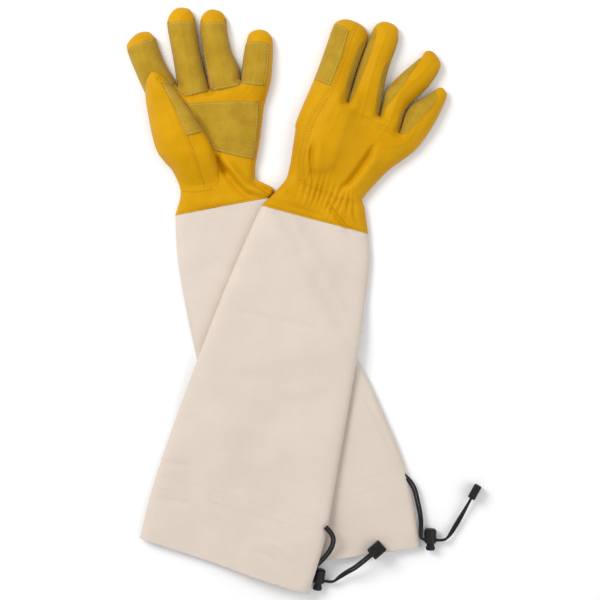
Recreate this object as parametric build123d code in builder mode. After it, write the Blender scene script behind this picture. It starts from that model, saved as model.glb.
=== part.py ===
from build123d import *
from math import acos, cos, pi, radians, sin, tan
import os

os.makedirs("parts", exist_ok=True)

# A pair of beekeeping gloves lying one over the other, in millimetres.
# +X is to the right, +Y towards the fingertips and +Z up from the table.
# The left glove lies palm up on the table, the right glove back up over it.

# ---- leather hand ----
LEATHER = 1.2           # leather wall
SUEDE = 1.0             # suede patch on the palm side
HAND_THICK = 14.0       # hand, palm face to back face, as it lies
HAND_ROUND = 6.0        # rounding of the hand's edge
THUMB_THICK = 12.0      # thumb, folded over the palm
THUMB_ROUND = 5.0
THUMB_NECK = 10.0       # radius of the opening from the palm into the thumb
GAP = 0.3               # air between pieces that only rest on each other
CROTCH = 1.5            # rounding between two fingers
CORNER = 4.0            # rounding of the outline's outer corners
FOURCHETTE = 7.0        # height of the strip along the sides of two fingers
ELASTIC_WIDE = 8.0      # elastic sewn inside the wrist
ELASTIC_THICK = 0.8
CUFF_RUN = 25.0         # how far the outline runs past the seam before it is cut
REACH = 400.0           # larger than any piece

# ---- canvas sleeve ----
CANVAS = 0.8
SLEEVE_THICK = 13.0
CORD = 2.5              # drawcord diameter
CASING = 0.3            # tape that covers the drawcord inside the sleeve
CASING_WIDE = 12.0
FIT = 0.05              # air around the drawcord in its casing
EXIT_TALL = 4.0         # slit in the sleeve's edge for the two strands
EXIT_WIDE = 8.0

# ---- cord lock: a sprung plunger across two strands ----
STRAND_GAP = 3.0        # centre to centre of the two strands
LOCK_R = 6.0
LOCK_LONG = 15.0
LOCK_CHAMFER = 1.6
BORE_R = 4.1
BORE_FLOOR = 1.5
HOLE_AT = 11.5          # cord hole, from the closed end
HOLE_WIDE = 3.2
HOLE_TALL = STRAND_GAP + CORD + 0.6
PLUNGER_R = 3.85
PLUNGER_FROM = 8.3
PLUNGER_TO = 21.4
PRESS = 2.8             # travel of the plunger
HEAD_FROM = 17.9
HEAD_R = 4.6
SPRING_R = 2.6
SPRING_WIRE = 0.6
SPRING_TURNS = 4
LOCK_TRAVEL = 5.0       # travel of the lock along the cord

# ---- cord end: two halves clipped over the strands' ends ----
END_LONG = 15.0
END_WIDE = 12.5
END_TALL = 7.6
END_CORNER = 1.4
END_EDGE = 0.9
END_BITE = 11.0         # how far the strands reach into it
CHEVRON = 0.8           # depth of the moulded arrow

# Each hand: origin and turn of its own frame (y runs from the cuff seam to the
# fingers, x from the index side to the little-finger side). A finger is its tip
# centre, its root centre and the two radii; edge runs from wrist to knuckles.
LEFT = dict(
    name="left", at=(-63.5, 95.0), turn=6.5, seam_turn=10.4, seam_wide=95.0,
    index=((-61, 167), (-38, 97), 14.5, 15), middle=((-19, 185), (-15, 104), 13.5, 14.5),
    ring=((12.5, 182), (16.5, 101), 13, 14.5), little=((54.5, 157), (42, 96), 13, 13),
    index_edge=((-41, 22), (-51, 53), (-53, 92)), little_edge=((54, 94), (41, 48), (36, 16)),
    thumb=((-47, 118), (-33, 60), 14.5, 24), thumb_patch=((-52, 126), (-36, 134), (-4, 80), (-26, 68)),
    palm_patch=((-27, 105), (47.6, 98.3), (37.5, 42.4), (-4, 56)), elastic_at=(20, -3))
RIGHT = dict(
    name="right", at=(28.5, 81.0), turn=-24.0, seam_turn=-14.5, seam_wide=109.5,
    index=((-43.5, 183), (-36, 98), 14.5, 16), middle=((-12, 196), (0, 112), 12.5, 14.5),
    ring=((39.5, 188), (24.5, 112), 11, 12.5), little=((62.5, 156), (53.5, 98), 10.5, 11.5),
    index_edge=((-44, 22), (-46, 46), (-52, 92)), little_edge=((64, 100), (49, 76), (39, 46)),
    thumb=((-22, 112), (-26, 58), 14, 20), thumb_patch=((-30, 120), (-12, 126), (4, 76), (-16, 66)),
    palm_patch=((-4, 104), (50, 100), (34, 52), (4, 56)), elastic_at=(27, 6))
FINGERS = ("index", "middle", "ring", "little")

# Sleeve sections: distance from the seam, reach to the left and right of the
# sleeve's axis, turn, height of the underside and roll to the table.
RIGHT_BASE = SUEDE + GAP + THUMB_THICK + SUEDE      # underside of the right hand
LEFT["sleeve_turn"], RIGHT["sleeve_turn"] = 17.4, -14.8
LEFT["sleeve"] = (
    (0, 47.5, 47.5, 10.4, 0, 0), (40, 58.5, 55, 14, 0, 0), (93, 66, 66, 17.4, 0, 0),
    (186, 74, 83, 17.4, 0, 0), (245, 79, 91, 17.4, 0, 0), (305, 84, 95.5, 15, 0, 0),
    (368, 87, 88, 8.2, 0, 0))
RIGHT["sleeve"] = (
    (0, 54.75, 54.75, -14.5, RIGHT_BASE, 0), (30, 60, 64, -14.8, RIGHT_BASE, 0),
    (90, 69, 72, -14.8, RIGHT_BASE - 0.7, 0), (165, 77.5, 79, -14.8, RIGHT_BASE - 0.2, 0.5),
    (230, 84, 84.5, -14.8, RIGHT_BASE + 1.3, 3), (300, 88.5, 90, -16, RIGHT_BASE + 0.3, 5.5),
    (355, 88, 88.5, -18, RIGHT_BASE - 2.5, 7.4))
LEFT["casing_at"], RIGHT["casing_at"] = 306, 290    # drawcord casing, from the seam

# Drawcord routes: x, y, z and the twist of the two strands about their run. They
# leave the sleeve's edge, cross the lock and end in the cord end.
LEFT["lock"], RIGHT["lock"] = ((143.3, -225.5), 180.0), ((33.5, -265.4), 172.0)
LOCK_HIGH = LOCK_R + GAP
LEFT["route"] = (
    (115.5, -171.5, 6.5, 0), (126, -179.5, 6.5, 0), (131, -200, 6.5, 0), (134.3, -217, LOCK_HIGH, 20),
    (133.6, -230.5, LOCK_HIGH, 55), (134.4, -237, LOCK_HIGH, 90), (149.5, -237.05, LOCK_HIGH, 90),
    (158.3, -237, LOCK_HIGH, 90), (163.5, -231, 5.5, 45), (169, -222, 5, 0),
    (175.5, -210.7, 6, 40), (182.5, -197.7, 7, 80), (189.1, -185.8, 7, 80))
RIGHT["route"] = (
    (38.5, -220.5, 28.7, 0), (46.5, -228, 25.5, 0), (46, -241, 20, 0), (37, -253.5, 16.6, 0),
    (27, -263, 14.6, 25), (21, -269, 9.5, 50), (20.3, -273.2, 6.6, 75), (22.8, -275.6, LOCK_HIGH, 90),
    (37.85, -277.7, LOCK_HIGH, 90), (46.75, -278.9, LOCK_HIGH, 90), (52, -274, 7.5, 45),
    (60, -268, 11, 0), (71.5, -260.4, 17.2, 0), (92, -242.4, 17.2, 0))


def along(at, turn, point):
    """A point of a turned frame in the common frame."""
    a = radians(turn)
    return (at[0] + point[0] * cos(a) - point[1] * sin(a), at[1] + point[0] * sin(a) + point[1] * cos(a))


def capsule(tip, root, tip_r, root_r, grow=0.0):
    """Hull of a tip circle and a root circle, as a sketch."""
    with BuildSketch() as shape:
        with Locations(tip):
            Circle(tip_r + grow)
        with Locations(root):
            Circle(root_r + grow)
        make_hull()
    return shape.sketch


def hand_outline(hand, grow):
    """Outline of fingers, palm and cuff, with rounded crotches and corners."""
    half, lean = hand["seam_wide"] / 2, hand["seam_turn"] - hand["turn"]
    seam = [along((0, 0), lean, p) for p in ((half, 0), (half, -CUFF_RUN), (-half, -CUFF_RUN), (-half, 0))]
    with BuildSketch() as palm:
        with BuildLine():
            roots = [hand[finger][1] for finger in FINGERS]
            Polyline(*hand["index_edge"], *roots, *hand["little_edge"], *seam, close=True)
        make_face()
        offset(amount=CROTCH)
    with BuildSketch() as shape:
        add(palm.sketch)
        for finger in FINGERS:
            add(capsule(*hand[finger], CROTCH))
        offset(amount=-CROTCH - CORNER)
        offset(amount=CORNER + grow)
    return shape.sketch


def pillow(outline, thick, edge, grow, bottom=0.0):
    """A flat, rounded body over an outline that has already been grown."""
    with BuildPart() as body:
        with BuildSketch(Plane.XY.offset(bottom - grow)):
            add(outline)
        extrude(amount=thick + 2 * grow)
        rims = body.edges().group_by(Axis.Z)
        fillet(rims[0] + rims[-1], edge + grow)
    return body.part


def kept(shape, *cutters):
    """The part of a shape inside all of the cutters."""
    with BuildPart() as piece:
        add(shape)
        for cutter in cutters:
            add(cutter, mode=Mode.INTERSECT)
    return piece.part


def less(shape, *cutters):
    """A shape with the cutters taken away."""
    with BuildPart() as piece:
        add(shape)
        for cutter in cutters:
            add(cutter, mode=Mode.SUBTRACT)
    return piece.part


def prism(corners, low=-REACH, high=REACH):
    """A straight block over a polygon."""
    with BuildPart() as block:
        with BuildSketch(Plane.XY.offset(low)):
            with BuildLine():
                Polyline(*corners, close=True)
            make_face()
        extrude(amount=high - low)
    return block.part


def half_space(turn, at=0.0):
    """Everything on the finger side of a line across the hand."""
    corners = ((-REACH, at), (REACH, at), (REACH, REACH), (-REACH, REACH))
    return prism([along((0, 0), turn, c) for c in corners])


def finger_band(tip, root, side, low, high):
    """Corners of a strip along a finger, between two distances from the tip centre."""
    dx, dy = root[0] - tip[0], root[1] - tip[1]
    long = (dx * dx + dy * dy) ** 0.5
    ux, uy = dx / long, dy / long
    ends = ((low, -side), (low, side), (high, side), (high, -side))
    return [(tip[0] + ux * d - uy * w, tip[1] + uy * d + ux * w) for d, w in ends]


def cut_hand(hand):
    """The leather pieces of one hand, palm up in the hand's own frame."""
    lean = hand["seam_turn"] - hand["turn"]
    mid, pieces = HAND_THICK / 2, {}
    in_hand = half_space(lean)
    outer = pillow(hand_outline(hand, 0), HAND_THICK, HAND_ROUND, 0)
    inner = pillow(hand_outline(hand, -LEATHER), HAND_THICK, HAND_ROUND, -LEATHER)
    grown = pillow(hand_outline(hand, SUEDE), HAND_THICK, HAND_ROUND, SUEDE)
    suede = less(grown, outer)
    shell = kept(less(outer, inner), in_hand)

    for first, second in zip(FINGERS, FINGERS[1:]):
        (tip_a, root_a, *_), (tip_b, root_b, *_) = hand[first], hand[second]
        zone = prism((tip_a, tip_b, root_b, root_a), mid - FOURCHETTE / 2, mid + FOURCHETTE / 2)
        strip = kept(shell, zone).solids().sort_by(SortBy.VOLUME)[-1]
        pieces[f"fourchette_{first}_{second}"] = strip
        shell = less(shell, strip)

    tip, root, tip_r, root_r = hand["thumb"]
    with BuildPart() as neck:
        with BuildSketch(Plane.XY.offset(mid)):
            with Locations(root):
                Circle(THUMB_NECK)
        extrude(amount=HAND_THICK)
    block = [(-REACH, -REACH), (REACH, -REACH), (REACH, REACH), (-REACH, REACH)]
    upper, lower = prism(block, mid), prism(block, high=mid)
    pieces["palm_leather"] = less(kept(shell, upper), neck.part)
    pieces["back_leather"] = kept(shell, lower)

    for finger in FINGERS:
        tip_f, root_f, _, root_rf = hand[finger]
        long = ((tip_f[0] - root_f[0]) ** 2 + (tip_f[1] - root_f[1]) ** 2) ** 0.5
        strip = prism(finger_band(tip_f, root_f, root_rf - 1, 0, long - 12), mid + FOURCHETTE / 2)
        pieces[f"{finger}_patch"] = kept(suede, strip)
    pieces["palm_patch"] = kept(suede, prism(hand["palm_patch"], mid))

    # The thumb is its own shell over the palm, open to the hand through the neck.
    low = HAND_THICK + SUEDE + GAP
    with BuildSketch() as thumb_line:
        add(capsule(tip, root, tip_r, root_r))
    with BuildSketch() as thumb_in:
        add(capsule(tip, root, tip_r - LEATHER, root_r - LEATHER))
    with BuildSketch() as thumb_out:
        add(capsule(tip, root, tip_r + SUEDE, root_r + SUEDE))
    thumb = pillow(thumb_line.sketch, THUMB_THICK, THUMB_ROUND, 0, low)
    hollow = pillow(thumb_in.sketch, THUMB_THICK, THUMB_ROUND, -LEATHER, low)
    thumb_grown = pillow(thumb_out.sketch, THUMB_THICK, THUMB_ROUND, SUEDE, low)
    thumb_mid = low + THUMB_THICK / 2
    thumb_shell = less(thumb, hollow)
    pieces["thumb_front"] = kept(thumb_shell, prism(block, thumb_mid))
    with BuildPart() as back:
        add(kept(thumb_shell, prism(block, high=thumb_mid)))
        with BuildSketch(Plane.XY.offset(HAND_THICK - LEATHER)):
            with Locations(root):
                Circle(THUMB_NECK)
        extrude(amount=low - HAND_THICK + 2 * LEATHER)
        with BuildSketch(Plane.XY.offset(mid)):
            with Locations(root):
                Circle(THUMB_NECK - LEATHER)
        extrude(amount=HAND_THICK, mode=Mode.SUBTRACT)
    pieces["thumb_back"] = back.part
    pieces["thumb_patch"] = kept(less(thumb_grown, thumb), prism(hand["thumb_patch"], thumb_mid))

    # The elastic is a band against the inside of the wrist.
    level, tilt = hand["elastic_at"]
    tilt += lean
    thin = pillow(hand_outline(hand, -LEATHER - ELASTIC_THICK), HAND_THICK, HAND_ROUND,
                  -LEATHER - ELASTIC_THICK)
    band = less(half_space(tilt, level), half_space(tilt, level + ELASTIC_WIDE))
    pieces["wrist_elastic"] = kept(less(inner, thin), band)
    return pieces


def place_hand(hand, pieces):
    """Hand pieces in the common frame; the right hand is turned palm down."""
    placed = {}
    for name, solid in pieces.items():
        if hand is RIGHT:
            solid = solid.mirror(Plane.XY)
            solid = solid.moved(Location((*hand["at"], RIGHT_BASE + HAND_THICK), (0, 0, hand["turn"])))
        else:
            solid = solid.moved(Location((*hand["at"], 0), (0, 0, hand["turn"])))
        placed[name] = solid
    return placed


def sleeve_plane(hand, section):
    """Plane of one sleeve section: x across the sleeve, y up, z towards the seam."""
    dist, left, right, turn, height, roll = section
    axis_x, axis_y = along(hand["at"], hand["sleeve_turn"], (0, -dist))
    x, y = along((axis_x, axis_y), turn, ((right - left) / 2, 0))
    a, r = radians(turn), radians(roll)
    across = (cos(a) * cos(r), sin(a) * cos(r), sin(r))
    back = (sin(a), -cos(a), 0)
    return Plane(origin=(x, y, height), x_dir=across, z_dir=back)


def sleeve_solid(hand, shrink, ends=0.0):
    """The sleeve's flattened tube, made smaller all round by shrink."""
    rows = hand["sleeve"]
    with BuildPart() as body:
        for row in rows:
            dist, left, right, turn, height, roll = row
            plane = sleeve_plane(hand, row)
            thick = HAND_THICK if dist == 0 else SLEEVE_THICK
            if row is rows[0]:
                plane = plane.offset(-ends)
            if row is rows[-1]:
                plane = plane.offset(ends)
            wide, tall = left + right - 2 * shrink, thick - 2 * shrink
            with BuildSketch(plane):
                with Locations((0, thick / 2)):
                    RectangleRounded(wide, tall, HAND_ROUND - shrink)
        loft(ruled=True)
    return body.part


def sleeve_slab(hand, dist, wide):
    """A block across the sleeve at a distance from the seam."""
    turn = hand["sleeve_turn"]
    corners = ((-REACH, -dist + wide / 2), (REACH, -dist + wide / 2),
               (REACH, -dist - wide / 2), (-REACH, -dist - wide / 2))
    return prism([along(hand["at"], turn, c) for c in corners])


def corner_radii(points):
    """Arc radius for each corner, from the shorter run beside it and the turn."""
    radii = []
    for a, b, c in zip(points, points[1:], points[2:]):
        before, after = Vector(*b) - Vector(*a), Vector(*c) - Vector(*b)
        turn = acos(max(-1, min(1, before.dot(after) / (before.length * after.length))))
        radii.append(0.45 * min(before.length, after.length) / tan(turn / 2))
    return radii


def normal(start, stop):
    """Unit normal of a run, in the table's plane."""
    dx, dy = stop[0] - start[0], stop[1] - start[1]
    long = (dx * dx + dy * dy) ** 0.5
    return (-dy / long, dx / long)


def strand(route, side):
    """One of two strands beside a route, kept at an even distance from it."""
    runs = [normal(a, b) for a, b in zip(route, route[1:])]
    points = []
    for i, (x, y, z, twist) in enumerate(route):
        (ax, ay), (bx, by) = runs[max(i - 1, 0)], runs[min(i, len(runs) - 1)]
        meet = 1 + ax * bx + ay * by
        flat = side * STRAND_GAP / 2 * cos(radians(twist)) / meet
        rise = side * STRAND_GAP / 2 * sin(radians(twist))
        points.append((x + (ax + bx) * flat, y + (ay + by) * flat, z + rise))
    radii = corner_radii(points)
    print("strand radii", [round(r, 1) for r in radii])
    with BuildPart() as tube:
        with BuildLine() as path:
            FilletPolyline(*points, radius=radii)
        with BuildSketch(path.line ^ 0):
            Circle(CORD / 2)
        sweep(path=path.line)
    length = sum(edge.length for edge in path.edges())
    print("strand length", round(length, 1), "volume ratio",
          round(tube.part.volume / (length * pi * CORD ** 2 / 4), 4))
    return tube.part


def lock_pieces():
    """Body, plunger and spring of the cord lock; the axis is y, the cord runs along x."""
    with BuildPart() as body:
        with BuildSketch(Plane.XZ):
            Circle(LOCK_R)
        extrude(amount=-LOCK_LONG)
        rims = body.edges().group_by(Axis.Y)
        chamfer(rims[0] + rims[-1], LOCK_CHAMFER)
        with BuildSketch(Plane.XZ.offset(-BORE_FLOOR)):
            Circle(BORE_R)
        extrude(amount=-LOCK_LONG, mode=Mode.SUBTRACT)
        with Locations((0, HOLE_AT, 0)):
            Box(4 * LOCK_R, HOLE_WIDE, HOLE_TALL, mode=Mode.SUBTRACT)
    with BuildPart() as plunger:
        with BuildSketch(Plane.XZ.offset(-PLUNGER_FROM)):
            Circle(PLUNGER_R)
        extrude(amount=-(PLUNGER_TO - PLUNGER_FROM - 1))
        with BuildSketch(Plane.XZ.offset(-HEAD_FROM)):
            Circle(HEAD_R)
        extrude(amount=-(PLUNGER_TO - HEAD_FROM))
        chamfer(plunger.edges().group_by(Axis.Y)[-1], 0.8)
        with Locations((0, HOLE_AT + PRESS / 2, 0)):
            Box(4 * LOCK_R, HOLE_WIDE + PRESS, HOLE_TALL, mode=Mode.SUBTRACT)
    high = PLUNGER_FROM - BORE_FLOOR - SPRING_WIRE - 0.1
    with BuildPart() as spring:
        with BuildLine() as coil:
            Helix(pitch=high / SPRING_TURNS, height=high, radius=SPRING_R,
                  center=(0, BORE_FLOOR + SPRING_WIRE / 2 + 0.05, 0), direction=(0, 1, 0))
        with BuildSketch(coil.line ^ 0):
            Circle(SPRING_WIRE / 2)
        sweep(path=coil.line, is_frenet=True)
    return {"cord_lock_body": body.part, "cord_lock_plunger": plunger.part, "cord_lock_spring": spring.part}


def end_pieces():
    """The cord end's two halves; strands enter at x=0 and the tab runs along +x."""
    with BuildPart() as tab:
        with BuildSketch(Plane.XY.offset(-END_TALL / 2)):
            with Locations((END_LONG / 2, 0)):
                RectangleRounded(END_LONG, END_WIDE, END_CORNER)
        extrude(amount=END_TALL)
        rims = tab.edges().group_by(Axis.Z)
        chamfer(rims[0] + rims[-1], END_EDGE)
        for rise in (-STRAND_GAP / 2, STRAND_GAP / 2):
            with BuildSketch(Plane.YZ):
                with Locations((rise, 0)):
                    Circle(CORD / 2 + FIT)
            extrude(amount=END_BITE, mode=Mode.SUBTRACT)
        for face in (-END_TALL / 2, END_TALL / 2 - CHEVRON):
            with BuildSketch(Plane.XY.offset(face)):
                with BuildLine():
                    Polyline((4, -4), (9, 0), (4, 4), (7, 4), (12, 0), (7, -4), close=True)
                make_face()
            extrude(amount=CHEVRON, mode=Mode.SUBTRACT)
    block = [(-REACH, -REACH), (REACH, -REACH), (REACH, REACH), (-REACH, REACH)]
    return {"cord_end_body": kept(tab.part, prism(block, high=0)),
            "cord_end_clip": kept(tab.part, prism(block, low=0))}


def cut_sleeve(hand):
    """Canvas sleeve, drawcord casing and the hidden run of the drawcord."""
    at = hand["casing_at"]
    start, second = hand["route"][:2]
    with BuildPart() as slit:
        run = Vector(*second[:3]) - Vector(*start[:3])
        with Locations(Plane(origin=start[:3], x_dir=run, z_dir=(0, 0, 1))):
            Box(4 * EXIT_WIDE, EXIT_WIDE, EXIT_TALL)
    cord_out = CANVAS + FIT
    cord_in = cord_out + CORD
    tape_out = cord_in + FIT
    tube = {depth: sleeve_solid(hand, depth, 1.0)
            for depth in (CANVAS, cord_out, cord_in, tape_out, tape_out + CASING)}
    channel = less(kept(tube[CANVAS], sleeve_slab(hand, at, CASING_WIDE)), tube[tape_out + CASING])
    room = less(kept(tube[CANVAS], sleeve_slab(hand, at, CASING_WIDE - 2 * CASING)), tube[tape_out])
    ring = less(kept(tube[cord_out], sleeve_slab(hand, at, CORD)), tube[cord_in])
    return {"canvas_sleeve": less(sleeve_solid(hand, 0), tube[CANVAS], slit.part),
            "drawcord_casing": less(channel, room, slit.part),
            "drawcord_hidden": less(ring, slit.part)}


def cord_hardware(hand):
    """Strands, cord lock and cord end of one glove in the common frame."""
    pieces = {"drawcord_strand_a": strand(hand["route"], 1), "drawcord_strand_b": strand(hand["route"], -1)}
    at, turn = hand["lock"]
    for name, solid in lock_pieces().items():
        pieces[name] = solid.moved(Location((*at, LOCK_HIGH), (0, 0, turn)))
    before, last = hand["route"][-2:]
    twist = radians(last[3])
    run = (Vector(*last[:3]) - Vector(*before[:3])).normalized()
    nx, ny = normal(before, last)
    side = Vector(nx * cos(twist), ny * cos(twist), sin(twist))
    frame = Plane(origin=Vector(*last[:3]) - run * (END_BITE - FIT), x_dir=run, z_dir=run.cross(side))
    for name, solid in end_pieces().items():
        pieces[name] = solid.moved(frame.location)
    return pieces


CORD_PIECES = ("drawcord_strand", "cord_lock", "cord_end")


def save(solid, name):
    solid.label = name
    export_step(solid, f"parts/{name}.step")
    box = solid.bounding_box()
    print(f"{name:36s} {len(solid.solids())} {solid.is_valid} {solid.volume:9.1f}",
          *(round(v, 2) for v in (*box.min, *box.max)))


gloves = {}
for hand in (LEFT, RIGHT):
    pieces = place_hand(hand, cut_hand(hand)) | cut_sleeve(hand) | cord_hardware(hand)
    gloves.update({f"{hand['name']}_{name}": solid for name, solid in pieces.items()})

# The origin is the bottom centre of everything but the cords and what is on them.
cloth = Compound([s for n, s in gloves.items() if not any(c in n for c in CORD_PIECES)]).bounding_box()
middle = (cloth.min + cloth.max) / 2
shift = Location((-middle.X, -middle.Y, -cloth.min.Z))
print("shift", *(round(v, 3) for v in shift.position))
for hand in (LEFT, RIGHT):
    (x, y), turn = hand["lock"]
    print(hand["name"], "lock", round(x - middle.X, 3), round(y - middle.Y, 3), "turn", turn)
for name, solid in gloves.items():
    save(solid.moved(shift), name)
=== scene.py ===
import math

import bpy
import numpy as np
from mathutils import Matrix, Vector
from mathutils.geometry import delaunay_2d_cdt
from mathutils.kdtree import KDTree


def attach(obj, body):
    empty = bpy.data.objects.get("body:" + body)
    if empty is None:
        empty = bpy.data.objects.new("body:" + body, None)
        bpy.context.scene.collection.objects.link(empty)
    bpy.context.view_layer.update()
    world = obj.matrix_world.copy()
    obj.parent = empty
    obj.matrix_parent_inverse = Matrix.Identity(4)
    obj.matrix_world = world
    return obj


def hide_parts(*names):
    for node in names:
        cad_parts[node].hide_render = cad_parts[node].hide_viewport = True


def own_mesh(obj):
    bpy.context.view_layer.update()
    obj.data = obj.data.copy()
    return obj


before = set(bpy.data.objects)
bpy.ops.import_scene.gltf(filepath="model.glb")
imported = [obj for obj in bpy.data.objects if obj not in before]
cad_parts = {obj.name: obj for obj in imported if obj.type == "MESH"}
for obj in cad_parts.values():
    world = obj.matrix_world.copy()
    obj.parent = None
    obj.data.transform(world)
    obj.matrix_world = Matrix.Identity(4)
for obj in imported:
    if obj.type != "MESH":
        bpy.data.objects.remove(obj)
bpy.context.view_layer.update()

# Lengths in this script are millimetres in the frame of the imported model, and are
# turned into metres where a mesh, a curve, a light or the camera is made.
M = 0.001

# ---- camera: straight above the pair ----
VIEW_AT = (12.5, 1.5)
VIEW_WIDE = 600.0
LENS, SENSOR = 85.0, 36.0

# ---- thickness and softness of the materials ----
LEATHER_PROUD = 0.2
PATCH_PROUD = 0.9
LEATHER_THICK, SUEDE_THICK = 1.2, 1.0
STRIP_PROUD, STRIP_THICK = 0.3, 0.45    # the strips between the fingers
CANVAS_THICK = 0.8
GLOVE_GAP = 1.0         # air between the lower glove and the one over it
THREAD_R = 0.28
SIDES = 6               # sides of a stitch's thread
STITCH_LONG = 2.2
STITCH_PITCH = 3.1
GRID = 1.5              # step of the height fields
HAND_STEP, SLEEVE_STEP = 1.2, 2.4       # size of the mesh's triangles
LINE_STEP, EDGE_STEP = 1.2, 2.0         # steps along the lines of the hand and of the sleeve
CARRIED = 8             # grid steps that a height field is carried on past its outline
FILL_ROUNDS = 900       # rounds in which a glove's filling spreads over the grid
SAG, SAG_ROUNDS = 0.011, 1400           # how stiffly the upper glove lies over the lower one
TABLE_CLEAR = 0.3       # height of the lowest skins over the table
THUMB_SOFT, UNDER_THUMB_SOFT = 6.2, 5.6
LIFT_HIGH, LIFT_REACH = 4.0, 34.0       # the upper hem over the cord's way out
PAST_HEM = 30           # how far the filled shape runs on past the hem, so that the hem stays open

# ---- each glove in its own frame: origin at the middle of the cuff seam, y towards
# the fingers, x towards the little finger. The runs go round the glove. ----
LEFT = dict(
    name="left", at=(-64.5, 94.9), turn=6.5, sleeve_turn=17.4,
    runs=(
        ((-48, -4), (-40, 19), (-46, 42), (-55, 63), (-59, 89), (-62, 113), (-70, 139), (-77, 166),
         (-73, 175), (-64, 181), (-54, 181), (-48, 174), (-46, 165), (-41, 147), (-31, 124)),
        ((-31, 124), (-32, 151), (-34, 185), (-31, 195), (-24, 201), (-16, 201), (-10, 198), (-7, 189),
         (-6, 173), (-5, 153), (-2.5, 133), (0, 117)),
        ((0, 117), (-1, 133), (-2, 148), (-2, 178), (0, 189), (6, 195), (13, 196), (21, 192), (24, 184),
         (24, 170), (26, 152), (31, 136), (32, 123)),
        ((32, 123), (37, 143), (42, 160), (46, 168), (54, 171), (62, 169), (67, 163), (68, 156),
         (66, 140), (62, 120), (56, 104), (52, 94), (48, 77), (43, 57), (37, 37), (35, 23)),
        ((35, 23), (42, 19), (50, 14), (53, 9), (48, 3))),
    tips=((-64, 181), (-20, 201), (10, 196), (54, 171)),
    sleeve=((0, 47.5, 47.5, 10.4), (40, 58.5, 55, 14), (93, 66, 66, 17.4), (186, 74, 83, 17.4),
            (245, 79, 91, 17.4), (305, 84, 95.5, 15), (368, 87, 88, 8.2)))
RIGHT = dict(
    name="right", at=(27.5, 80.9), turn=-24.0, sleeve_turn=-14.8,
    runs=(
        ((-54, -9), (-46, 14), (-43, 26), (-45, 40), (-49, 55), (-54, 73), (-57, 84), (-58, 129),
         (-60, 159), (-62, 184), (-59.5, 191), (-53, 195.5), (-44, 197), (-35, 196), (-29, 192), (-25.6, 184),
         (-24, 161), (-21.3, 138), (-18, 119)),
        ((-18, 119), (-19.8, 137), (-22.7, 164), (-24.2, 190), (-24, 200), (-22, 205), (-17, 209), (-8, 210),
         (-1, 206), (3, 193), (5, 169), (9, 147), (16, 121)),
        ((16, 121), (14.5, 135), (12.5, 148), (19, 167), (30, 190), (32, 198), (37, 201), (44, 199),
         (51, 193), (52, 186), (49, 169), (43, 153), (37.5, 137), (41, 114)),
        ((41, 114), (39.5, 135), (42, 145), (50, 156), (57, 168), (62, 172), (68, 169), (70, 163),
         (70, 145), (68, 126), (63, 105), (55, 90), (47, 76), (40, 58), (34, 38)),
        ((34, 38), (40, 31), (45, 23), (54, 9))),
    tips=((-45, 197), (-12, 210), (42, 200), (64, 171)),
    sleeve=((0, 54.75, 54.75, -14.5), (30, 60, 64, -14.8), (90, 69, 72, -14.8), (165, 77.5, 79, -14.8),
            (230, 84, 84.5, -14.8), (300, 88.5, 90, -16), (355, 88, 88.5, -18)))

# Suede patches on the side that faces up and on the side that faces down.
LEFT["patches_up"] = dict(
    index=((-80, 163), (-45, 174), (-30, 128), (-66, 108)),
    middle=((-36, 186), (-5, 184), (1, 115), (-24, 111), (-33, 121)),
    ring=((-3.5, 182), (26, 180), (33, 126), (30, 116), (2, 113.5)),
    little=((41, 159), (65.5, 154), (56, 113), (32, 118)),
    palm=((-27, 104), (48, 98), (37, 42), (-1, 55)))
LEFT["patches_down"], LEFT["gussets"] = {}, {}
RIGHT["patches_up"] = dict(index=((-66, 186), (-45, 184), (-40, 126), (-62, 128)))
RIGHT["patches_down"] = dict(
    middle=((-28, 196), (6, 194), (13, 124), (-16, 122)), ring=((26, 190), (56, 184), (40, 124), (14, 126)),
    little=((54, 160), (74, 156), (66, 106), (42, 118)), palm=((-8, 104), (50, 100), (36, 50), (0, 52)))

# The strips between two fingers: for each, the seam beside the first and the second.
RIGHT["gussets"] = dict(
    index_middle=(((-26, 186), (-30, 173), (-28.5, 152), (-26, 133), (-21, 121), (-18, 118)),
                  ((-24.5, 200), (-20, 194), (-17, 177), (-15.5, 152), (-14.5, 131), (-15.5, 120),
                   (-18, 118))),
    middle_ring=(((4, 178), (1, 167), (3, 150), (6.5, 135), (10.5, 123), (16, 119)),
                 ((30, 191), (31, 186), (28, 171), (24, 151), (19.5, 132), (19, 121), (16, 119))),
    ring_little=(((40, 144), (36, 136), (35, 126), (38, 117), (41, 112)),
                 ((55, 166), (61, 161), (60.5, 150), (55, 133), (49, 117), (45, 112.5), (41, 112))))


def put(glove, points):
    """Points of a glove's frame in the common frame."""
    p = np.atleast_2d(np.asarray(points, float))
    a = math.radians(glove["turn"])
    x = glove["at"][0] + p[:, 0] * math.cos(a) - p[:, 1] * math.sin(a)
    y = glove["at"][1] + p[:, 0] * math.sin(a) + p[:, 1] * math.cos(a)
    return np.column_stack([x, y])


def hand_y(glove, points):
    """Distance of points from the cuff seam, towards the fingers."""
    a = math.radians(glove["turn"])
    return -(points[:, 0] - glove["at"][0]) * math.sin(a) + (points[:, 1] - glove["at"][1]) * math.cos(a)


def axes(turn):
    """Unit vectors across and along a direction turned by degrees."""
    a = math.radians(turn)
    return np.array([math.cos(a), math.sin(a)]), np.array([-math.sin(a), math.cos(a)])


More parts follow.
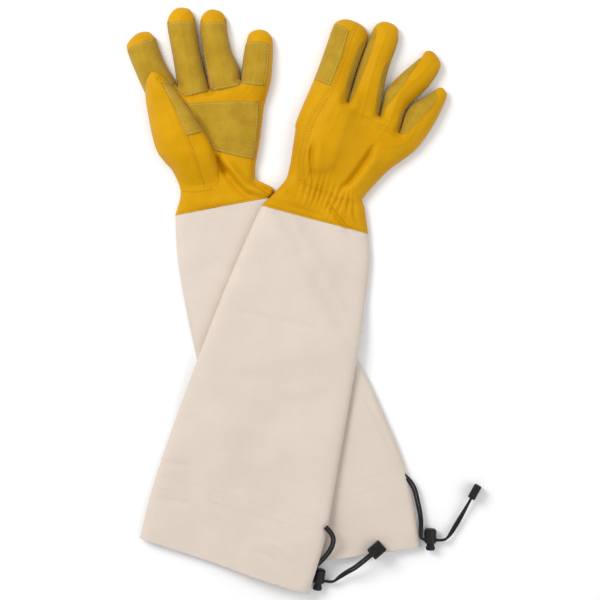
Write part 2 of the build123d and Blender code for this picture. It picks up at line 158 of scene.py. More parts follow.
def smooth(points, step=LINE_STEP):
    """An even Catmull-Rom curve through the points."""
    p = np.asarray(points, float)
    ext = np.vstack([2 * p[0] - p[1], p, 2 * p[-1] - p[-2]])
    out = []
    for a, b, c, d in zip(ext, ext[1:], ext[2:], ext[3:]):
        t = np.linspace(0, 1, 24, endpoint=False)[:, None]
        out.append(0.5 * (2 * b + (c - a) * t + (2 * a - 5 * b + 4 * c - d) * t ** 2
                          + (3 * b - a - 3 * c + d) * t ** 3))
    return even(np.vstack(out + [p[-1:]]), step)


def places(line):
    """Distance along a polyline to each of its points."""
    return np.concatenate([[0], np.cumsum(np.linalg.norm(np.diff(line, axis=0), axis=1))])


def even(line, step):
    """A polyline cut to even steps."""
    at = places(line)
    n = max(2, int(round(at[-1] / step)) + 1)
    s = np.linspace(0, at[-1], n)
    return np.column_stack([np.interp(s, at, line[:, k]) for k in range(line.shape[1])])


def drawn(glove, line):
    """A smooth line in the common frame, through points of a glove's frame."""
    return smooth(put(glove, line))


def beside(points, line):
    """Distance from points to a polyline, the place along it and the side, left positive."""
    best = np.full(len(points), 1e9)
    place, side = np.zeros(len(points)), np.zeros(len(points))
    run = 0.0
    for a, b in zip(line, line[1:]):
        d = b - a
        long = max(np.hypot(*d), 1e-9)
        t = np.clip(((points - a) @ d) / long ** 2, 0, 1)
        off = points - a - t[:, None] * d
        dist = np.hypot(off[:, 0], off[:, 1])
        near = dist < best
        best[near] = dist[near]
        place[near] = run + t[near] * long
        side[near] = np.sign(d[0] * off[near, 1] - d[1] * off[near, 0])
        run += long
    return best, place, side


def within(points, poly):
    """Which points are inside a polygon."""
    x, y = points[:, 0], points[:, 1]
    inside = np.zeros(len(points), bool)
    for (x0, y0), (x1, y1) in zip(poly, np.roll(poly, -1, axis=0)):
        if y0 == y1:
            continue
        cross = (y0 > y) != (y1 > y)
        inside[cross] ^= x[cross] < x0 + (y[cross] - y0) * (x1 - x0) / (y1 - y0)
    return inside


# ---- height fields on one grid over both gloves ----
GX = np.arange(-175, 176, GRID)
GY = np.arange(-325, 326, GRID)
GRID_XY = np.column_stack([a.ravel() for a in np.meshgrid(GX, GY)])


def read(field, points):
    """Bilinear value of a grid field at points."""
    fx = np.clip((points[:, 0] - GX[0]) / GRID, 0, len(GX) - 1.001)
    fy = np.clip((points[:, 1] - GY[0]) / GRID, 0, len(GY) - 1.001)
    i, j = fx.astype(int), fy.astype(int)
    u, v = fx - i, fy - j
    return ((1 - u) * (1 - v) * field[j, i] + u * (1 - v) * field[j, i + 1]
            + (1 - u) * v * field[j + 1, i] + u * v * field[j + 1, i + 1])


def spread(field):
    """Mean of a field's four neighbours."""
    p = np.pad(field, 1, mode="edge")
    return (p[:-2, 1:-1] + p[2:, 1:-1] + p[1:-1, :-2] + p[1:-1, 2:]) / 4


def blur(field, reach):
    for _ in range(int((reach / GRID) ** 2)):
        field = spread(field)
    return field


def eased(t):
    """A step from 0 to 1 with level ends."""
    return t * t * (3 - 2 * t)


def noise(points, size, seed):
    """Smooth noise from -1 to 1 with features of a size."""
    rng = np.random.default_rng(seed)
    table = rng.uniform(-1, 1, (64, 64))
    q = points / size + 32.5
    i = np.floor(q).astype(int)
    (x, y), (u, v) = i.T % 64, eased(q - i).T
    low, high = (table[row, x] * (1 - u) + table[row, (x + 1) % 64] * u for row in (y, (y + 1) % 64))
    return low * (1 - v) + high * v


def grid_mask(poly):
    """Grid points inside a polygon."""
    return within(GRID_XY, poly).reshape(len(GY), len(GX))


def loop(path):
    return np.vstack([path, path[:1]])


def tree_of(points):
    """A search tree of points."""
    tree = KDTree(len(points))
    for i, (x, y) in enumerate(points):
        tree.insert((x, y, 0), i)
    tree.balance()
    return tree


def from_edge(tree, points):
    """Distance from points to the nearest point of a tree."""
    return np.array([tree.find((x, y, 0))[2] for x, y in points])


def carry_on(field, mask, steps):
    """A field with the values at its mask's edge carried on outwards."""
    field, filled = field.copy(), mask.astype(float)
    for _ in range(steps):
        near = spread(filled)
        grown = (filled == 0) & (near > 0)
        field[grown] = (spread(field * filled) / np.maximum(near, 1e-9))[grown]
        filled[grown] = 1
    return field


class Puff:
    """The half thickness of a filled bag over an outline: soft edges and a level middle."""

    def __init__(self, outline, level):
        self.outline = outline
        self.tree = tree_of(even(loop(outline), 0.4))
        mask = grid_mask(outline)
        u = np.zeros(mask.shape)
        keep = 4 + (GRID / level) ** 2
        for _ in range(FILL_ROUNDS):
            u = np.where(mask, (4 * spread(u) + GRID ** 2) / keep, 0)
        self.mask = mask
        ins = mask.ravel()
        ratio = np.zeros(ins.shape)
        ratio[ins] = u.ravel()[ins] / np.maximum(from_edge(self.tree, GRID_XY[ins]), 0.3)
        # Next to the edge the ratio can't be larger than beside a long straight edge.
        ratio = np.minimum(ratio.reshape(mask.shape), level)
        self.ratio = spread(spread(carry_on(ratio, mask, 6)))

    def half(self, points, depth=None):
        """Half thickness at points."""
        depth = from_edge(self.tree, points) if depth is None else depth
        return np.sqrt(np.maximum(read(self.ratio, points) * depth, 0))


def sleeve_edge(glove, hand):
    """The sleeve's left (-1) or right (+1) edge, from the seam down, in the common frame."""
    start, ahead = np.array(glove["at"]), axes(glove["sleeve_turn"])[1]
    return np.array([start - dist * ahead + (right if hand > 0 else -left) * axes(turn)[0]
                     for dist, left, right, turn in glove["sleeve"]])


def outline_of(glove):
    """The glove's closed outline, its seam line, hem line and the outline run on past the hem."""
    runs = [drawn(glove, run) for run in glove["runs"]]
    right, left = sleeve_edge(glove, 1), sleeve_edge(glove, -1)
    right[0], left[0] = runs[-1][-1], runs[0][0]
    down, up = smooth(right, EDGE_STEP), smooth(left[::-1], EDGE_STEP)
    hand = np.vstack([run[:-1] for run in runs])
    hem = even(np.vstack([down[-1], up[0]]), EDGE_STEP)
    closed = np.vstack([hand, down[:-1], hem[:-1], up[:-1]])
    past = PAST_HEM * np.array([hem[-1][1] - hem[0][1], hem[0][0] - hem[-1][0]])
    past /= np.linalg.norm(hem[-1] - hem[0])
    past = -past if past[1] > 0 else past
    tail = even(np.vstack([hem[0], hem[0] + past, hem[-1] + past, hem[-1]]), EDGE_STEP)
    longer = np.vstack([hand, down[:-1], tail[:-1], up[:-1]])
    seam = even(np.vstack([runs[0][0], runs[-1][-1]]), LINE_STEP)
    return closed, longer, seam, hem


def softness(glove):
    """How far the filling swells, over the grid: most in the fingers, least in the sleeve."""
    y = hand_y(glove, GRID_XY).reshape(len(GY), len(GX))
    return np.interp(y, (-60, -5, 25, 60, 100, 135), (5.0, 5.6, 6.6, 8.2, 9.0, 12.5))


def path_length(path):
    return np.linalg.norm(np.diff(path, axis=0), axis=1).sum()


def crease_set(points, creases, glove):
    """Sum of creases at points, each a kind, a line, a width and a height.

    A ridge fades at its ends and is a groove where its height is negative. A fold is high on
    the left of its line and low on the right. A dot keeps its height to the ends.
    """
    total = np.zeros(len(points))
    for kind, line, width, height in creases:
        path = smooth(put(glove, line), 1.5)
        dist, place, side = beside(points, path)
        long = path_length(path)
        ends = np.clip(np.minimum(place, long - place) / (0.3 * long), 0, 1)
        fade = 1.0 if kind == "dot" else eased(ends)
        if kind == "fold":
            d = dist * side / width
            total += height * fade * (d * np.exp(0.5 - d * d / 2)) * 0.9
        else:
            total += height * np.exp(-(dist / width) ** 2) * fade
    return total


def gathers(points, glove, line, pitch, reach, height, seed):
    """Short irregular ridges across an elastic line, and the groove that it pulls in."""
    path = smooth(put(glove, line), 1.0)
    dist, place, side = beside(points, path)
    long = path_length(path)
    inside = np.clip(np.minimum(place, long - place) / (2.5 * pitch), 0, 1)
    drift = 1.1 * noise(np.column_stack([place, dist * side * 0.35]), 11.0, seed)
    size = 0.75 + 0.45 * noise(np.column_stack([place, place * 0]), 7.0, seed + 1)
    lean = dist * side * 0.10 * np.sin(place / 17)
    wave = 1.6 * np.abs(np.sin(np.pi * (place + lean) / pitch + 1.1 * drift)) ** 0.8 - 1.0
    across = np.exp(-(dist / (reach * (0.8 + 0.4 * size))) ** 2)
    return inside * (height * size * wave * across - 1.1 * np.exp(-(dist / 3.0) ** 2))


def link(name, data):
    obj = bpy.data.objects.new(name, data)
    bpy.context.scene.collection.objects.link(obj)
    return obj


def mesh_piece(name, verts, faces, mat):
    """A smooth-shaded mesh object from points in millimetres."""
    mesh = bpy.data.meshes.new(name)
    mesh.from_pydata((np.asarray(verts) * M).tolist(), [], [tuple(int(i) for i in f) for f in faces])
    mesh.update()
    mesh.shade_smooth()
    mesh.materials.append(mat)
    return link(name, mesh)


def own(verts, faces):
    """Only the vertices that the faces use, and the faces renumbered."""
    used, back = np.unique(faces, return_inverse=True)
    return verts[used], back.reshape(faces.shape)


def border(faces):
    """Vertices on the edges that only one face has."""
    edges = np.vstack([faces[:, [0, 1]], faces[:, [1, 2]], faces[:, [2, 0]]])
    key = {(a, b) for a, b in edges.tolist()}
    return sorted({v for a, b in key if (b, a) not in key for v in (a, b)})


# ---- materials ----
WAVE_LONG = 0.314       # a wave texture's pitch in metres at scale 1


class Finish:
    """A material: its shader and the textures that vary its colour, roughness and surface."""

    def __init__(self, name, colour, rough, **inputs):
        self.mat, self.colour = bpy.data.materials.new(name), colour
        self.mat.use_nodes = True
        self.tree = self.mat.node_tree
        self.bsdf = self.tree.nodes["Principled BSDF"]
        self.place = self.node("TexCoord").outputs["Object"]
        for key, value in dict(Base_Color=(*colour, 1), Roughness=rough, **inputs).items():
            self.bsdf.inputs[key.replace("_", " ")].default_value = value

    def node(self, kind, values=(), **props):
        """A shader node with its properties and its input values set."""
        made = self.tree.nodes.new("ShaderNode" + kind)
        for key, value in props.items():
            setattr(made, key, value)
        for key, value in dict(values).items():
            made.inputs[key].default_value = value
        return made

    def texture(self, kind, place, values, **props):
        """The outputs of a texture that is read at a socket's coordinates."""
        made = self.node("Tex" + kind, values, **props)
        self.tree.links.new(place, made.inputs["Vector"])
        return made.outputs

    def noise(self, scale, detail, rough=0.5):
        """Soft noise over the object."""
        values = {"Scale": scale, "Detail": detail, "Roughness": rough}
        return self.texture("Noise", self.place, values)["Fac"]

    def mottle(self, other, scale, low, high):
        """The colour drifts between two shades with soft noise."""
        cloud, ramp = self.noise(scale, 4.0, 0.6), self.node("ValToRGB")
        for stop, at, shade in zip(ramp.color_ramp.elements, (low, high), (self.colour, other)):
            stop.position, stop.color = at, (*shade, 1)
        self.tree.links.new(cloud, ramp.inputs["Fac"])
        self.tree.links.new(ramp.outputs["Color"], self.bsdf.inputs["Base Color"])
        return cloud

    def vary_rough(self, source, low, high):
        """The roughness follows a texture between two values."""
        scaled = self.node("MapRange", {"To Min": low, "To Max": high})
        self.tree.links.new(source, scaled.inputs["Value"])
        self.tree.links.new(scaled.outputs["Result"], self.bsdf.inputs["Roughness"])

    def bumps(self, *layers):
        """Bump layers, each a socket, a strength and a height in metres."""
        before = None
        for socket, strength, height in layers:
            bump = self.node("Bump", {"Strength": strength, "Distance": height})
            self.tree.links.new(socket, bump.inputs["Height"])
            if before is not None:
                self.tree.links.new(before, bump.inputs["Normal"])
            before = bump.outputs["Normal"]
        self.tree.links.new(before, self.bsdf.inputs["Normal"])

    def threads(self, pitch, ways, **values):
        """The higher of two sets of threads, each with a rotation and a direction of its bands."""
        top = self.node("Math", operation="MAXIMUM")
        for k, (turn, way) in enumerate(ways):
            lay = self.node("Mapping", {"Rotation": turn})
            self.tree.links.new(self.place, lay.inputs["Vector"])
            wave = self.texture("Wave", lay.outputs["Vector"], {"Scale": WAVE_LONG / pitch, **values},
                                bands_direction=way)
            self.tree.links.new(wave["Fac"], top.inputs[k])
        return top.outputs["Value"]


def leather_material(name, colour, other):
    finish = Finish(name, colour, 0.5, Specular_IOR_Level=0.22, Specular_Tint=(1.0, 0.7, 0.25, 1))
    finish.vary_rough(finish.mottle(other, 26.0, 0.3, 0.7), 0.42, 0.62)
    grain = finish.texture("Voronoi", finish.place, {"Scale": 620.0, "Randomness": 1.0},
                           feature="SMOOTH_F1")
    finish.bumps((grain["Distance"], 0.35, 0.0003), (finish.noise(900.0, 3.0), 0.25, 0.0002),
                 (finish.noise(70.0, 3.0), 0.5, 0.0014))
    return finish.mat


def suede_material(name, colour, other):
    finish = Finish(name, colour, 0.9, Specular_IOR_Level=0.12, Sheen_Weight=0.12, Sheen_Roughness=0.5)
    finish.vary_rough(finish.mottle(other, 55.0, 0.34, 0.66), 0.82, 0.98)
    finish.bumps((finish.noise(850.0, 6.0, 0.75), 0.8, 0.0005), (finish.noise(120.0, 4.0), 0.5, 0.0012))
    return finish.mat


def woven_material(name, colour, other, turn, pitch, height):
    """Cloth of crossing threads, turned to the piece."""
    finish = Finish(name, colour, 0.85, Specular_IOR_Level=0.2, Sheen_Weight=0.1)
    finish.mottle(other, 14.0, 0.3, 0.7)
    level = (0, 0, -math.radians(turn))
    uneven = {"Distortion": 0.8, "Detail": 1.0, "Detail Scale": 2.0}
    cross = finish.threads(pitch, ((level, "X"), (level, "Y")), **uneven)
    slub = finish.noise(260.0, 5.0, 0.7)
    finish.vary_rough(slub, 0.79, 0.93)
    finish.bumps((cross, 0.5, height), (slub, 0.45, height), (finish.noise(22.0, 3.0), 0.5, 0.0025))
    return finish.mat


def moulded_material(name, colour, rough, metal=0.0):
    """Plastic or metal with fine grain and light wear."""
    finish = Finish(name, colour, rough, Metallic=metal, Specular_IOR_Level=0.3)
    wear = finish.noise(160.0, 5.0)
    finish.vary_rough(wear, rough - 0.1, rough + 0.12)
    finish.bumps((finish.noise(1900.0, 2.0), 0.3, 0.00008), (wear, 0.2, 0.0002))
    return finish.mat


def braid_material(name, colour):
    """A braided cover: two sets of diagonal threads round the cord."""
    finish = Finish(name, colour, 0.62, Specular_IOR_Level=0.3, Sheen_Weight=0.08)
    ways = [((turn, turn, turn), "DIAGONAL") for turn in (0.8, -0.8)]
    cross = finish.threads(0.0008, ways, Distortion=0.4)
    finish.vary_rough(cross, 0.5, 0.75)
    finish.bumps((cross, 0.8, 0.0004))
    return finish.mat


LEATHER = leather_material("leather_yellow", (0.54, 0.265, 0.0015), (0.62, 0.315, 0.003))
SUEDE = suede_material("suede_patch", (0.38, 0.225, 0.012), (0.47, 0.29, 0.022))
THREAD = woven_material("stitching", (0.60, 0.44, 0.13), (0.68, 0.52, 0.19), 0, 0.0005, 0.0002)
SEAM_THREAD = woven_material("leather_thread", (0.44, 0.20, 0.004), (0.52, 0.25, 0.006), 0, 0.0005, 0.0002)
CANVAS_THREAD = woven_material("canvas_thread", (0.66, 0.575, 0.495), (0.70, 0.61, 0.53), 0, 0.0005, 0.0002)
ELASTIC = woven_material("elastic_tape", (0.72, 0.66, 0.58), (0.8, 0.74, 0.66), 6, 0.0012, 0.0004)
TAPE = woven_material("casing_tape", (0.74, 0.66, 0.57), (0.8, 0.72, 0.63), 17, 0.0008, 0.0003)
CORD_COVER = braid_material("braided_cord", (0.008, 0.008, 0.009))
PLASTIC = moulded_material("black_plastic", (0.006, 0.006, 0.007), 0.42)
STEEL = moulded_material("spring_steel", (0.55, 0.55, 0.57), 0.3, 1.0)
CLOTH = {g["name"]: woven_material("canvas_" + g["name"], (0.655, 0.565, 0.485), (0.70, 0.61, 0.53),
                                   g["sleeve_turn"], 0.0011, 0.0004) for g in (LEFT, RIGHT)}


# ---- camera ----
camera = link("camera", bpy.data.cameras.new("camera"))
camera.data.lens, camera.data.sensor_width = LENS, SENSOR
camera.data.clip_end = 20
camera.location = (VIEW_AT[0] * M, VIEW_AT[1] * M, VIEW_WIDE * M * LENS / SENSOR)
bpy.context.scene.camera = camera

# ---- the drawcords' free strands ----
# Routes as x, y, z and the twist of the two strands about their run.
SHIFT = (-1.017, -0.563)
STRAND_GAP, CORD, LOCK_HIGH = 2.6, 2.5, 6.3
LEFT["press_way"] = (0, 1, 0)
RIGHT["press_way"] = (0.139173, 0.990268, 0)
LEFT["route"] = (
    (115.5, -171.5, 6.5, 0), (126, -179.5, 6.5, 0), (131, -200, 6.5, 0), (134.3, -217, LOCK_HIGH, 20),
    (133.6, -230.5, LOCK_HIGH, 55), (134.4, -237, LOCK_HIGH, 90), (149.5, -237.05, LOCK_HIGH, 90),
    (158.3, -237, LOCK_HIGH, 90), (163.5, -231, 5.5, 45), (169, -222, 5, 0),
    (175.5, -210.7, 6, 40), (182.5, -197.7, 7, 80), (189.1, -185.8, 7, 80))
RIGHT["route"] = (
    (38.5, -220.5, 28.7, 0), (46.5, -228, 25.5, 0), (46, -241, 20, 0), (37, -253.5, 16.6, 0),
    (27, -263, 14.6, 25), (21, -269, 9.5, 50), (20.3, -273.2, 6.6, 75), (22.8, -275.6, LOCK_HIGH, 90),
    (37.85, -277.7, LOCK_HIGH, 90), (46.75, -278.9, LOCK_HIGH, 90), (52, -274, 7.5, 45),
    (60, -268, 11, 0), (71.5, -260.4, 17.2, 0), (92, -242.4, 17.2, 0))


def normal(start, stop):
    """Unit normal of a run, in the table's plane."""
    dx, dy = stop[0] - start[0], stop[1] - start[1]
    long = (dx * dx + dy * dy) ** 0.5
    return (-dy / long, dx / long)


def strand_points(route, side):
    """One of two strands beside a route, in metres."""
    runs = [normal(a, b) for a, b in zip(route, route[1:])]
    points = []
    for i, (x, y, z, twist) in enumerate(route):
        (ax, ay), (bx, by) = runs[max(i - 1, 0)], runs[min(i, len(runs) - 1)]
        meet = 1 + ax * bx + ay * by
        flat = side * STRAND_GAP / 2 * math.cos(math.radians(twist)) / meet
        rise = side * STRAND_GAP / 2 * math.sin(math.radians(twist))
        points.append(((x + (ax + bx) * flat + SHIFT[0]) * M, (y + (ay + by) * flat + SHIFT[1]) * M,
                       (z + rise) * M))
    return points


def cord_curve(name, points, closed):
    """A round braided cord along a spline whose control points are the given points, in metres."""
    curve = bpy.data.curves.new(name, "CURVE")
    curve.dimensions = "3D"
    curve.bevel_depth, curve.bevel_resolution = CORD / 2 * M, 3 if closed else 5
    curve.use_fill_caps = not closed
    curve.resolution_u = 12 if closed else 10
    spline = curve.splines.new("NURBS")
    spline.points.add(len(points) - 1)
    for target, point in zip(spline.points, points):
        target.co = (*point, 1)
    spline.order_u = 3
    spline.use_cyclic_u = closed
    spline.use_endpoint_u = not closed
    curve.materials.append(CORD_COVER)
    return link(name, curve)


for glove in (LEFT, RIGHT):
    side_name = glove["name"]
    hardware = [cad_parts[f"{side_name}_{n}"] for n in
                ("cord_end_body", "cord_end_clip", "cord_lock_body", "cord_lock_plunger")]
    for letter, side in (("a", 1), ("b", -1)):
        points = strand_points(glove["route"], side)
        strand = cord_curve(f"{side_name}_drawcord_{letter}", points, False)
        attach(strand, f"{side_name}_glove")
        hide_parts(f"{side_name}_drawcord_strand_{letter}")
    for piece in hardware:
        for holder in piece.material_slots:
            holder.material = PLASTIC
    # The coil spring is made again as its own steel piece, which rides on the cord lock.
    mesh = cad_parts[f"{side_name}_cord_lock_spring"].data.copy()
    spring = link(f"{side_name}_lock_spring", mesh)
    mesh.materials.clear()
    mesh.materials.append(STEEL)
    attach(spring, f"{side_name}_cord_lock")
    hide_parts(f"{side_name}_cord_lock_spring")
    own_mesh(spring)


# ---- gloves ----
EDGE_HIGH = 4.5         # height of the silhouette over what it lies on
TIP_FREE = 16           # steps along the outline from a fingertip to the end of a strip
CLEAR_OF_LINE = 0.55    # no loose mesh point is nearer than this to a sewn line
RINGS = (0.5, 1.1, 1.9, 2.9, 4.1, 5.6)      # rows of the mesh beside the silhouette
SINK = 2.2              # how far the thumb's root runs down into the palm


def leftward(path, closed=False):
    """Unit normals on the left of a path."""
    run = np.roll(path, -1, axis=0) - np.roll(path, 1, axis=0) if closed else np.gradient(path, axis=0)
    run /= np.maximum(np.linalg.norm(run, axis=1), 1e-9)[:, None]
    return np.column_stack([-run[:, 1], run[:, 0]])


def inward(ring):
    """Unit normals of a closed outline, towards its inside."""
    area = np.sum(ring[:, 0] * np.roll(ring[:, 1], -1) - np.roll(ring[:, 0], -1) * ring[:, 1])
    return leftward(ring, True) * (1 if area > 0 else -1)


def flanked(path, off=0.9):
    """A seam line and a line close on each side of it, so that the mesh can show it."""
    side = leftward(path) * off
    return [path, path + side, path - side]


def left_of(points, line):
    """Which points are on the left of the line from the first to the last point of a seam."""
    across, off = line[-1] - line[0], points - line[0]
    return across[0] * off[:, 1] - across[1] * off[:, 0] > 0


def lay_out(outline, tree, seam, lines):
    """Points and triangles over an outline, with the given lines kept as edges."""
    side, loose = inward(outline), []
    for depth in RINGS:
        ring = outline + side * depth
        far = from_edge(tree, ring)
        loose.append(ring[(far > 0.94 * depth) & within(ring, outline)])
    low, high = outline.min(0), outline.max(0)
    for step, on_hand in ((HAND_STEP, True), (SLEEVE_STEP, False)):
        xs, ys = np.arange(low[0], high[0], step), np.arange(low[1], high[1], step * 0.866)
        gx, gy = np.meshgrid(xs, ys)
        gx[1::2] += step / 2
        cells = np.column_stack([gx.ravel(), gy.ravel()])
        cells = cells[left_of(cells, seam) == on_hand]
        cells = cells[within(cells, outline)]
        loose.append(cells[from_edge(tree, cells) > RINGS[-1] + 0.6 * step])
    loose = np.vstack(loose)
    fixed = np.vstack(lines)
    loose = loose[from_edge(tree_of(fixed), loose) > CLEAR_OF_LINE]
    points = np.vstack([outline, loose, fixed])
    n = len(outline)
    edges = [(i, (i + 1) % n) for i in range(n)]
    at = n + len(loose)
    for line in lines:
        edges += [(at + i, at + i + 1) for i in range(len(line) - 1)]
        at += len(line)
    made = delaunay_2d_cdt([Vector(p) for p in points], edges, [], 0, 1e-4, False)
    verts = np.array([tuple(v) for v in made[0]])
    faces = np.array([tuple(f) for f in made[2]])
    middle = verts[faces].mean(axis=1)
    faces = faces[within(middle, outline)]
    a, b, c = (verts[faces[:, k]] for k in range(3))
    turn = (b[:, 0] - a[:, 0]) * (c[:, 1] - a[:, 1]) - (b[:, 1] - a[:, 1]) * (c[:, 0] - a[:, 0])
    real = np.abs(turn) > 1e-6
    faces, turn = faces[real], turn[real]
    faces[turn < 0] = faces[turn < 0][:, ::-1]
    return verts, faces


def solid(obj, thick, offset=-1.0):
    """The skin gets its real thickness, inwards where the offset is -1."""
    mod = obj.modifiers.new("thickness", "SOLIDIFY")
    mod.thickness, mod.offset = thick * M, offset
    mod.use_even_offset = False
    return obj


def finish_piece(obj, glove, slot, *nodes):
    """A piece of a glove rides on it, and stands for the named nodes."""
    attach(obj, glove["name"] + "_glove")
    if nodes:
        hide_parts(*(f"{glove['name']}_{n}" for n in nodes))


def closed_region(glove, corners):
    """A patch's outline in the common frame, with edges that are a little curved."""
    ring = put(glove, list(corners) + [corners[0]])
    middle = ring[:-1].mean(axis=0)
    out = []
    for a, b in zip(ring, ring[1:]):
        t = np.linspace(0, 1, max(3, int(np.linalg.norm(b - a) / 1.3)), endpoint=False)[:, None]
        bow = (a + b) / 2 - middle
        out.append(a + (b - a) * t + bow / np.linalg.norm(bow) * 0.8 * np.sin(math.pi * t))
    return np.vstack(out)


class Skin:
    """The top and the bottom surface of a glove or a thumb over its outline."""

    def __init__(self, outline, level, support, thin=None):
        self.support = support
        self.puff = Puff(outline, level)
        self.thin = thin or (lambda points: 1.0)
        self.details = []

    def heights(self, points, depth=None):
        thin = self.thin(points)
        half = self.puff.half(points, depth) * thin
        low = read(self.support, points) + EDGE_HIGH * thin * np.exp(-half / 2.2) - SINK * (1 - thin)
        return low, low + 2 * half, 1 - np.exp(-half / 1.6)

    def top(self, points, depth=None):
        low, high, fade = self.heights(points, depth)
        return high + fade * sum((f(points) for f in self.details), np.zeros(len(points)))

    def bottom(self, points, depth=None):
        low, high, fade = self.heights(points, depth)
        return low + 0.6 * fade * (1 + noise(points, 21.0, 5)) * 0.5

    def field(self):
        """Height of the top over the grid, and nought outside the outline."""
        inside = self.puff.mask.ravel()
        top = np.zeros(inside.shape)
        top[inside] = self.top(GRID_XY[inside])
        return top.reshape(self.puff.mask.shape)


def stitches(name, glove, path, skin, proud, mat, pitch=STITCH_PITCH, long=STITCH_LONG, high=0.25,
             slot="leather"):
    """Short threads along a path, each a small bar that sinks at both ends."""
    place = places(path)
    total = place[-1]
    count = max(1, int(total / pitch))
    verts, faces = [], []
    for i in range(count):
        s = (i + 0.5) * total / count + np.array([-0.5, -0.25, 0, 0.25, 0.5]) * long
        s = np.clip(s, 0, total)
        mid = np.column_stack([np.interp(s, place, path[:, k]) for k in (0, 1)])
        z = skin.top(mid) + proud + np.array([-0.25, high * 0.8, high, high * 0.8, -0.25])
        run = mid[-1] - mid[0]
        run /= max(np.linalg.norm(run), 1e-9)
        side = np.array([-run[1], run[0]])
        base = len(verts)
        for (x, y), h in zip(mid, z):
            for k in range(SIDES):
                a = 2 * math.pi * k / SIDES
                px, py = side * THREAD_R * math.cos(a)
                verts.append((x + px, y + py, h + THREAD_R * math.sin(a)))
        for row in range(base, len(verts) - SIDES, SIDES):
            for k in range(SIDES):
                a, b = row + k, row + (k + 1) % SIDES
                faces.append((a, b, b + SIDES, a + SIDES))
        faces.append(tuple(range(base + SIDES - 1, base - 1, -1)))
        faces.append(tuple(range(len(verts) - SIDES, len(verts))))
    finish_piece(mesh_piece(name, verts, faces, mat), glove, slot)


def shrunk(ring, by):
    """A closed outline moved inwards."""
    return ring + inward(ring) * by


# Folds, ridges and dots of the side that faces up, each with its line, width and height.
LEFT["creases"] = (
    ("fold", ((0, 50), (12, 31), (26, 12), (48, 3)), 3.6, 3.8),
    ("ridge", ((-3, 54), (1.5, 43), (7, 33), (11, 29)), 2.6, -7.0),
    ("ridge", ((-27, 108), (-10, 111), (10, 112), (30, 113)), 2.6, -1.6),
    ("ridge", ((44, 97), (51, 98), (58, 105)), 2.0, -1.4),
    ("ridge", ((7, 38), (2, 52), (-4, 65), (-9, 77), (-22, 102)), 2.6, -3.2),
    ("ridge", ((-36, 10), (-12, 4), (14, 6), (36, 14)), 6.0, 1.2),
    ("ridge", ((-40, 2), (-16, -2), (6, -1)), 4.0, -1.0),
    ("ridge", ((-26, 170), (-24, 150), (-19, 128)), 5.0, 1.0),
    ("ridge", ((32, 26), (41, 20), (50, 12), (55, 6)), 2.0, 3.6),
    ("ridge", ((29, 22), (38, 15.5), (50, 6)), 1.8, -4.0),
    ("ridge", ((8, 44), (18, 30), (30, 16)), 5.0, 1.6))
RIGHT["creases"] = (
    ("ridge", ((-20, 113), (-2, 110), (12, 111), (30, 110), (56, 108)), 2.4, -2.2),
    ("ridge", ((25, 98), (21, 74), (16, 51), (9, 30)), 2.6, -5.0),
    ("ridge", ((33, 92), (29, 68), (23, 48), (18, 32)), 5.0, 2.4),
    ("ridge", ((-34, 72), (-29, 55), (-22, 42), (-15, 29)), 2.2, -4.2),
    ("ridge", ((-28, 76), (-22, 58), (-15, 42)), 4.4, 1.8),
    ("fold", ((0, 25), (18, 14), (44, 2)), 1.7, 2.4),
    ("ridge", ((8, 28), (26, 20), (46, 10)), 4.4, 1.6),
    ("ridge", ((0, 11), (18, 5), (38, -2)), 4.0, 1.6),
    ("ridge", ((10, 7), (-18, 3), (-42, 1)), 2.6, -1.6),
    ("ridge", ((-8, 13), (-24, 10), (-38, 9)), 4.0, 1.3),
    ("ridge", ((27, 30), (33, 20), (44, 10)), 1.8, -1.4),
    ("dot", ((-19.5, 117), (-17, 115)), 2.6, 1.7), ("dot", ((15, 118.5), (17, 117)), 2.4, 1.5),
    ("dot", ((39.5, 111), (42, 110)), 2.4, 1.4))
LEFT["sleeve_creases"] = (
    ("ridge", ((74, -200), (81, -239), (88, -285), (91, -308)), 1.6, -1.5),
    ("ridge", ((-36, -44), (-10, -62), (20, -80)), 9.0, -1.4),
    ("ridge", ((-60, -150), (-30, -168), (0, -180)), 10.0, -1.2))
RIGHT["sleeve_creases"] = (
    ("ridge", ((-72, -107), (-10, -106), (50, -103)), 3.0, -0.7),
    ("ridge", ((-88, -271), (-72, -270), (-56, -267)), 2.4, -0.7),
    ("ridge", ((-88, -307), (-68, -306), (-45, -303)), 2.4, -0.8),
    ("ridge", ((30, -316), (48, -322), (66, -330)), 3.0, 0.9),
    ("ridge", ((22, -330), (44, -334), (60, -344)), 3.0, -0.9),
    ("ridge", ((-20, -30), (0, -48), (30, -60)), 9.0, -1.3),
    ("ridge", ((-60, -180), (-20, -200), (30, -206)), 12.0, -1.2),
    ("ridge", ((60, -150), (30, -168), (-10, -176)), 9.0, 0.9))
# Sewn lines on the side that faces up.
LEFT["seams"] = (
    ((63.5, 153), (57, 124), (51.5, 103), (45, 80), (39.5, 58), (34, 38)),)
RIGHT["seams"] = (
    ((-42, 197), (-42, 183), (-40.5, 166), (-37.5, 126), (-41, 95), (-40.5, 75), (-36, 49), (-26, 28)),
    ((-41, 124), (-45.5, 95), (-45, 73), (-40.5, 49), (-31, 28)))
LEFT["gather"] = ()
RIGHT["gather"] = ((-33, 25), (-19, 26), (-7, 26), (5, 26), (18, 27), (28, 30), (36, 35))
THUMB_LINE = (
    (-37, 125), (-45, 135), (-53, 138), (-59, 132), (-62.5, 122), (-63.5, 111), (-62.5, 92), (-61, 75),
    (-58, 60.5), (-51.5, 49), (-43, 38), (-38, 26), (-36, 12), (-24, 8), (-8, 12), (0, 31), (-1, 47),
    (-5, 63), (-11, 76), (-25, 104), (-37, 125))
THUMB_SEAM = ((-49, 129), (-46, 127), (-38, 108), (-32, 85), (-23, 55), (-17, 19))
